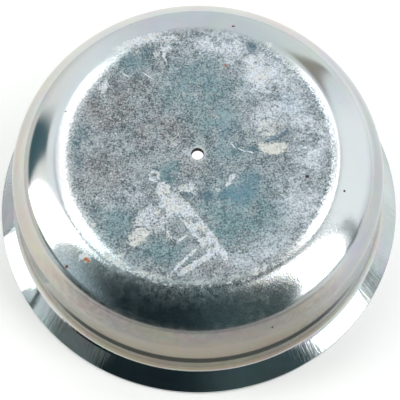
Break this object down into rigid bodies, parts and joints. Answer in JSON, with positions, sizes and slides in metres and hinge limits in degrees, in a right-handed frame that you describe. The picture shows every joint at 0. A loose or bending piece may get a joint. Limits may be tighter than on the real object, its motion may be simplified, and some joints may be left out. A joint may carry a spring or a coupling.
{
  "type": "hub grease cap",
  "caption": "Round pressed-steel hub grease cap with a flat vented top, rounded shoulder, straight gripping wall and flared rim; closes the outer end of a wheel hub and keeps grease in.",
  "frame": {"origin": "centre of the open mouth, on the plane of the rim's lower edge", "axes": "+Z along the cap's axis, from the open mouth towards the closed flat top; X and Y are free, because the cap is round"},
  "size_m": [0.068, 0.068, 0.0214],
  "materials": {
    "zinc_plated_steel": "zinc-plated pressed steel, grainy and stained on the flat top, burnished on the shoulder and wall"
  },
  "bodies": {
    "root": {"grease_cap": "zinc_plated_steel"}
  },
  "joints": []
}
